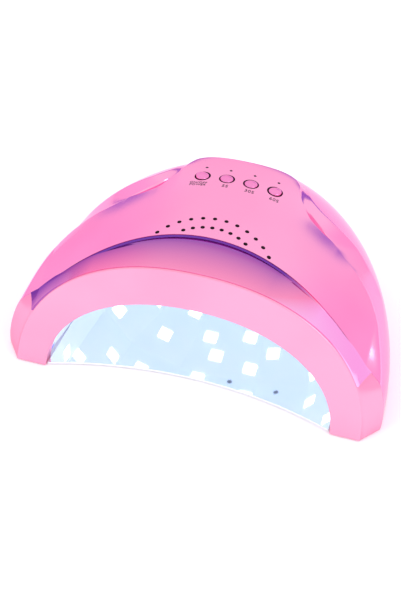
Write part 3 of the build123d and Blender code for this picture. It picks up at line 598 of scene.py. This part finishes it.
def frame_ring(turn, on_foot):
    """Closed ring of points round the frame's section at a station along the arch."""
    inner, outer = arch_point(turn, ARCH_IN), arch_point(turn, ARCH_OUT)
    for edge in (inner, outer):
        edge[1] = max(edge[1], GROUND_GAP)
    out = (outer - inner) / np.linalg.norm(outer - inner)
    points = []

    def put(spot, y):
        points.append((spot[0], back(y), spot[1]))

    face_in, face_out = FACE_LEAN * inner[1], FACE_LEAN * outer[1]
    put(inner, REAR_IN_Y)
    put(inner, face_in + 1.4)
    for a in np.linspace(0, PI / 2, 6):
        put(inner + out * INNER_ROUND * (1 - cos(a)), face_in + INNER_ROUND * (1 - sin(a)))
    for t in (0.3, 0.6):
        put(inner + (outer - inner) * t, face_in + (face_out - face_in) * t)
    for a in np.linspace(0, PI / 2, 6):
        put(outer - out * OUTER_ROUND * (1 - sin(a)), face_out + OUTER_ROUND * (1 - cos(a)))
    if on_foot:
        side = 1 if outer[0] > 0 else -1
        corner = np.interp(outer[1], lip_heights, lip_widths)
        depth = lip_depth(corner) - 0.1
        front_edge = np.array(points[-1])
        rear_edge = np.array((side * corner, back(depth), outer[1]))
        for t in FOOT_STEPS:
            points.append(tuple(front_edge + (rear_edge - front_edge) * t))
        points.append((side * (corner - 1.5), back(depth), outer[1]))
        points.append((side * FOOT_INNER_X, back(depth), outer[1]))
    else:
        put(outer, face_out + LEDGE_THICK - 0.3)
        put(outer - out * 0.3, face_out + LEDGE_THICK)
        put(outer - out * (LEDGE_STEP - 0.4), face_out + LEDGE_THICK)
        put(outer - out * LEDGE_STEP, face_out + LEDGE_THICK + 0.4)
        put(outer - out * LEDGE_STEP, face_out + FRAME_THICK)
        put(inner + out * 5.0, face_out + FRAME_THICK)
    put(inner + out * 3.0, REAR_IN_Y)
    return points


def arch_turn(z):
    """Turn at which the frame's outer edge has height z."""
    return np.arcsin((z / ARCH_OUT[1]) ** (ARCH_POWER[ARCH_OUT] / 2))


def build_front_frame():
    low, seam = arch_turn(GROUND_GAP), arch_turn(FOOT_TOP)
    turns = [(t, True) for t in np.linspace(low, seam, 26)]
    turns += [(t, False) for t in np.linspace(seam, PI - seam, 150)]
    turns += [(t, True) for t in np.linspace(PI - seam, PI - low, 26)]
    rings = [frame_ring(t, foot) for t, foot in turns]
    size = len(rings[0])
    verts = [p for ring in rings for p in ring]
    faces = []
    for i in range(len(rings) - 1):
        here, beyond = i * size, (i + 1) * size
        for j in range(size):
            k = (j + 1) % size
            faces.append((here + j, here + k, beyond + k, beyond + j))
    faces.append(tuple(range(size))[::-1])
    faces.append(tuple((len(rings) - 1) * size + j for j in range(size)))
    obj = mesh_object("front_arch", verts, faces, FRAME, sharp=35)
    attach(obj, "housing")
    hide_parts("front_frame")


build_front_frame()

# ---- groove trim --------------------------------------------------------------------------
TRIM_SPAN = radians(70.0)        # turn from upright to either tip
TRIM_THICK = 1.2
COVE_DEPTH = 7.0                 # how far the cove reaches in behind the lip
STRAIGHT_FROM, STRAIGHT_OVER = radians(50), radians(18)   # the cove flattens towards its tips
LILAC_REFLECTION_FROM, LILAC_REFLECTION_OVER = radians(26), radians(20)         # painted lilac reflection at the right end
DARK_SHADE_FROM, DARK_SHADE_OVER = radians(44), radians(14)           # painted dark shade at the left tip


def arch_reach(turn):
    """Radius of the frame's outer edge at a turn from upright."""
    half, top = ARCH_OUT
    power = ARCH_POWER[ARCH_OUT]
    return ((abs(sin(turn)) / half) ** power + (cos(turn) / top) ** power) ** (-1 / power)


def lip_reach(turn):
    """Radius and depth of the shell's lip at a turn from upright."""
    y = LIP_Y
    for _ in range(LIP_ROUNDS):
        r = float(front_radius(np.array(PI / 2 - abs(turn)), np.array(y)))
        y = lip_depth(r * sin(turn))
    return r, y


def build_groove_trim():
    columns, rows = 220, 22
    verts, painted_shading = [], []
    for i in range(rows):
        t = i / (rows - 1)
        for j in range(columns):
            turn = -TRIM_SPAN + 2 * TRIM_SPAN * j / (columns - 1)
            r0, (r1, y1) = arch_reach(turn), lip_reach(turn)
            end = np.clip((abs(turn) - STRAIGHT_FROM) / STRAIGHT_OVER, 0, 1)
            end = end * end * (3 - 2 * end)
            y0 = FACE_LEAN * r0 * cos(turn) + LEDGE_THICK - 0.3 - 0.7 * end
            r0, r1, y1 = r0 - 0.8 + 0.6 * end, r1 - 0.5 + 0.3 * end, y1 - 0.1
            rc = r0 + 0.45 * (r1 - r0)
            yc = (y1 + COVE_DEPTH * cos(turn)) * (1 - end) + (0.4 * y0 + 0.6 * y1) * end
            r = (1 - t) ** 2 * r0 + 2 * t * (1 - t) * rc + t * t * r1
            y = (1 - t) ** 2 * y0 + 2 * t * (1 - t) * yc + t * t * y1
            verts.append((r * sin(turn), back(y), r * cos(turn)))
            # Painted shading per point: painted violet shade rising towards the lip, a painted lilac
            # reflection at the right end and painted dark shade at the left tip.
            painted_lilac = np.clip((turn - LILAC_REFLECTION_FROM) / LILAC_REFLECTION_OVER, 0, 1)
            dark = np.clip((-turn - DARK_SHADE_FROM) / DARK_SHADE_OVER, 0, 1)
            painted_shading.append((0.2 + 0.8 * t) * (1 - painted_lilac) + 0.5 * dark * (1 - t))
    obj = mesh_object("groove_cove", verts, grid_faces(rows, columns, flip=True), GROOVE)
    obj.data.attributes.new("painted_shading", "FLOAT", "POINT").data.foreach_set("value", painted_shading)
    solid = obj.modifiers.new("wall", "SOLIDIFY")
    solid.thickness = TRIM_THICK * MM
    solid.offset = -1
    apply_modifiers(obj)
    obj.data.set_sharp_from_angle(angle=radians(40))
    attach(obj, "housing")
    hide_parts("groove_trim")


build_groove_trim()

# ---- painted blue glow at the foot of the liner walls ---------------------------------------
SEEP_Z = 2.3
SEEP_ROUTE = [(88.3, 9.5), (87.0, 40.0), (85.2, 70.0), (82.4, 94.5)]     # half-width, depth
SEEP_SECTION = [(0.0, 0.0), (0.8, 0.0), (1.2, 2.6), (0.0, 2.6)]          # inwards, up


def build_painted_glow_strips():
    """Thin strips with a painted blue glow, closing the gap between the liner's side walls and the rim; they
    are no lamps.
    """
    for side in (-1, 1):
        verts = [(side * (x - dx), back(y), SEEP_Z + dz) for x, y in SEEP_ROUTE for dx, dz in SEEP_SECTION]
        faces = []
        for i in range(len(SEEP_ROUTE) - 1):
            for j in range(4):
                k = (j + 1) % 4
                faces.append((i * 4 + j, i * 4 + k, i * 4 + k + 4, i * 4 + j + 4))
        last = 4 * (len(SEEP_ROUTE) - 1)
        faces += [(0, 1, 2, 3), (last + 3, last + 2, last + 1, last)]
        strip = mesh_object("painted_glow_strip", verts, faces, PAINTED_BLUE_GLOW, smooth=False)
        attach(strip, "housing")


build_painted_glow_strips()

# ---- buttons ------------------------------------------------------------------------------
BUTTON_NAMES = ["button_power", "button_5s", "button_30s", "button_60s"]
# Half-profile of a button: radius and height from the cap's dimple down to the collar's underside.
CAP = [(0.02, 0.62), (1.2, 0.60), (2.2, 0.50), (2.7, 0.36), (2.95, 0.30), (3.2, 0.36), (3.5, 0.42),
       (3.75, 0.36), (3.93, 0.12), (4.0, -0.3), (4.0, -5.4), (5.5, -5.5), (5.6, -5.6), (5.6, -6.4),
       (5.5, -6.5), (1.4, -6.5)]
CAP_SIDES = 96
BUTTON_FALL = 0.0030             # side fall of the button row per unit of x squared


def build_buttons():
    for name, x in zip(BUTTON_NAMES, button_x):
        level = crown(BUTTON_Y) - BUTTON_FALL * x * x
        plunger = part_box(name)[0][2] / MM - level
        profile = CAP + [(1.4, plunger), (0.02, plunger)]
        v, f = lathe(profile, (x, back(BUTTON_Y), level), CAP_SIDES)
        f.append(tuple(range(CAP_SIDES)))
        f.append(tuple(len(v) - CAP_SIDES + i for i in range(CAP_SIDES))[::-1])
        cap = mesh_object(name + "_cap", v, [face[::-1] for face in f], BUTTON, sharp=40)
        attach(cap, name)
        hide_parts(name)


build_buttons()

# ---- printed marks ------------------------------------------------------------------------
TEXT_LIFT, TEXT_THICK, TEXT_WEIGHT = 0.06, 0.02, 0.015
LABEL_GAP = 5.4                  # from a button's middle to the top of its mark
# Text, letter height, shift from the button's middle.
LABELS = [("ON/OFF\nPOWER", 2.7, -0.6), ("5S", 3.8, 0.8), ("30S", 3.8, 0.8), ("60S", 3.8, 1.2)]


def build_labels():
    for (text, size, shift), x in zip(LABELS, button_x):
        curve = bpy.data.curves.new("print_" + text[:2].lower(), "FONT")
        curve.body = text
        curve.size = size * MM
        curve.align_x = "CENTER"
        curve.extrude = TEXT_THICK * MM
        curve.offset = TEXT_WEIGHT * MM
        curve.space_character = 1.1
        curve.space_line = 0.85
        curve.resolution_u = 6
        text_obj = bpy.data.objects.new(curve.name, curve)
        bpy.context.scene.collection.objects.link(text_obj)
        mesh = bpy.data.meshes.new_from_object(text_obj)
        bpy.data.objects.remove(text_obj)
        base_y = BUTTON_Y - LABEL_GAP - size
        for vert in mesh.vertices:
            px, py = vert.co.x / MM + x + shift, vert.co.y / MM + base_y
            level = panel_level(px, py) + TEXT_LIFT
            vert.co = (px * MM, back(py) * MM, level * MM + vert.co.z)
        mesh.materials.clear()
        mesh.materials.append(INK)
        obj = bpy.data.objects.new(curve.name, mesh)
        bpy.context.scene.collection.objects.link(obj)
        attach(obj, "housing")


build_labels()

# ---- stage, light and camera --------------------------------------------------------------
FLOOR_HALF = 3000


def build_stage():
    material, tree, shader = new_material("paper")
    shader.inputs["Base Color"].default_value = (0.93, 0.93, 0.935, 1)
    shader.inputs["Roughness"].default_value = 0.9
    shader.inputs["Emission Color"].default_value = (1.0, 1.0, 1.0, 1)
    shader.inputs["Emission Strength"].default_value = 0.12
    verts = [(x * FLOOR_HALF, y * FLOOR_HALF, 0) for x, y in ((-1, -1), (1, -1), (1, 1), (-1, 1))]
    floor = mesh_object("floor", verts, [(0, 1, 2, 3)], material, smooth=False)


def area_light(name, place, size, power, mirrored):
    """Rectangular light aimed at the lamp; mirrored ones show in glossy surfaces."""
    light = bpy.data.lights.new(name, "AREA")
    light.shape = "RECTANGLE"
    light.size, light.size_y = size
    light.energy = power
    obj = bpy.data.objects.new(name, light)
    obj.location = place
    obj.rotation_euler = (LIGHT_AIM - Vector(place)).to_track_quat("-Z", "Y").to_euler()
    obj.visible_glossy = mirrored
    bpy.context.scene.collection.objects.link(obj)


LIGHT_AIM = Vector((0, 0, 0.05))
SKY, SKY_STRENGTH = (1.0, 0.97, 1.0, 1), 1.05


# Tinted patches of the studio: direction, where the tint starts and is full, colour.
WORLD_PATCHES = [
    ((1, 0.3, 0.15), 0.60, 0.95, (1.0, 0.66, 0.88)),
    ((-1, 0.3, 0.15), 0.60, 0.95, (1.0, 0.70, 0.92)),
    ((0.15, 1, 0.05), 0.93, 0.99, (0.36, 0.24, 0.76)),
    ((0.30, 0.89, 0.33), 0.974, 0.996, (0.36, 0.24, 0.76)),
    ((-0.45, 0.89, 0.04), 0.965, 0.995, (0.42, 0.30, 0.80)),
    ((0.2, -0.6, 0.8), 0.80, 0.97, (1.0, 0.84, 0.97)),
]


def build_world():
    """Pale studio surroundings with soft tinted patches for the plating to mirror."""
    world = bpy.data.worlds.new("studio")
    bpy.context.scene.world = world
    world.use_nodes = True
    tree = world.node_tree
    background = tree.nodes["Background"]
    coords = tree.nodes.new("ShaderNodeTexCoord")
    colour = None
    for direction, low, high, tint in WORLD_PATCHES:
        facing = tree.nodes.new("ShaderNodeVectorMath")
        facing.operation = "DOT_PRODUCT"
        facing.inputs[1].default_value = Vector(direction).normalized()
        link(tree, coords, "Generated", facing, "Vector")
        spread = map_range(tree, facing, "Value", 0, 1, low, high)
        spread.interpolation_type = "SMOOTHSTEP"
        mix = tree.nodes.new("ShaderNodeMix")
        mix.data_type = "RGBA"
        link(tree, spread, "Result", mix, "Factor")
        if colour is None:
            mix.inputs["A"].default_value = SKY
        else:
            link(tree, colour, "Result", mix, "A")
        mix.inputs["B"].default_value = (*tint, 1)
        colour = mix
    link(tree, colour, "Result", background, "Color")
    background.inputs["Strength"].default_value = SKY_STRENGTH


def build_camera():
    """Camera on a turn about the lamp: azimuth from the front, elevation and roll."""
    azimuth, elevation, roll = radians(10.75), radians(34.0), radians(6.76)
    target = Vector((0, back(80.0), 45.0)) * MM
    distance = 0.965
    away = Vector((sin(azimuth) * cos(elevation), -cos(azimuth) * cos(elevation), sin(elevation)))
    right = Vector((cos(azimuth), sin(azimuth), 0))
    up = away.cross(right)
    x_axis = right * cos(roll) + up * sin(roll)
    y_axis = up * cos(roll) - right * sin(roll)
    data = bpy.data.cameras.new("camera")
    data.sensor_width = 36.0
    data.lens = 95.06
    data.shift_x = -0.0439
    data.shift_y = -0.0597
    data.clip_end = 20
    camera = bpy.data.objects.new("camera", data)
    rotation = Matrix((x_axis, y_axis, away)).transposed()
    camera.matrix_world = Matrix.Translation(target + away * distance) @ rotation.to_4x4()
    bpy.context.scene.collection.objects.link(camera)
    bpy.context.scene.camera = camera


build_stage()
build_world()
build_camera()
area_light("key", (-0.7, -0.9, 1.3), (0.9, 0.9), 6, mirrored=False)
area_light("fill", (0.9, -0.6, 0.9), (0.7, 0.7), 3, mirrored=True)
bpy.context.scene.view_settings.view_transform = "Standard"
